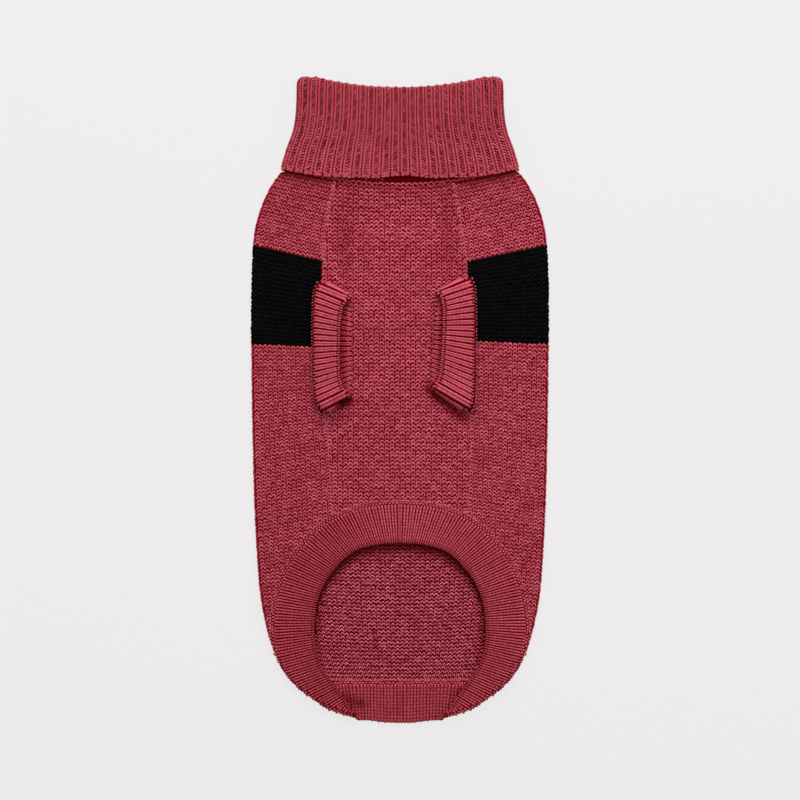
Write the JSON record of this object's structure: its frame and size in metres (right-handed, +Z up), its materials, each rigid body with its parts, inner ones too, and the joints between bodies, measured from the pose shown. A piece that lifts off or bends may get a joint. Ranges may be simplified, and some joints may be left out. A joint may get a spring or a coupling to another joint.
{
  "type": "dog sweater",
  "caption": "Knitted roll-neck dog sweater laid flat belly side up, with leg openings with ribbed cuffs and a ribbed band round the slanting rear opening.",
  "frame": {"origin": "on the table, under the middle of the garment's bounding box", "axes": "+X to the right of the laid-out garment, +Y from the tail towards the neck, +Z up from the table, with the belly side up"},
  "size_m": [0.1892, 0.4102, 0.0136],
  "materials": {
    "body_knit": "stockinette knit in dusty red yarn",
    "rib_knit": "ribbed knit in dusty red yarn",
    "black_knit": "stockinette knit in black yarn"
  },
  "bodies": {
    "root": {"back_panel": "body_knit", "belly_panel": "body_knit", "collar": "rib_knit", "cuff_left": "rib_knit", "cuff_right": "rib_knit", "hem_band": "rib_knit"}
  },
  "joints": []
}
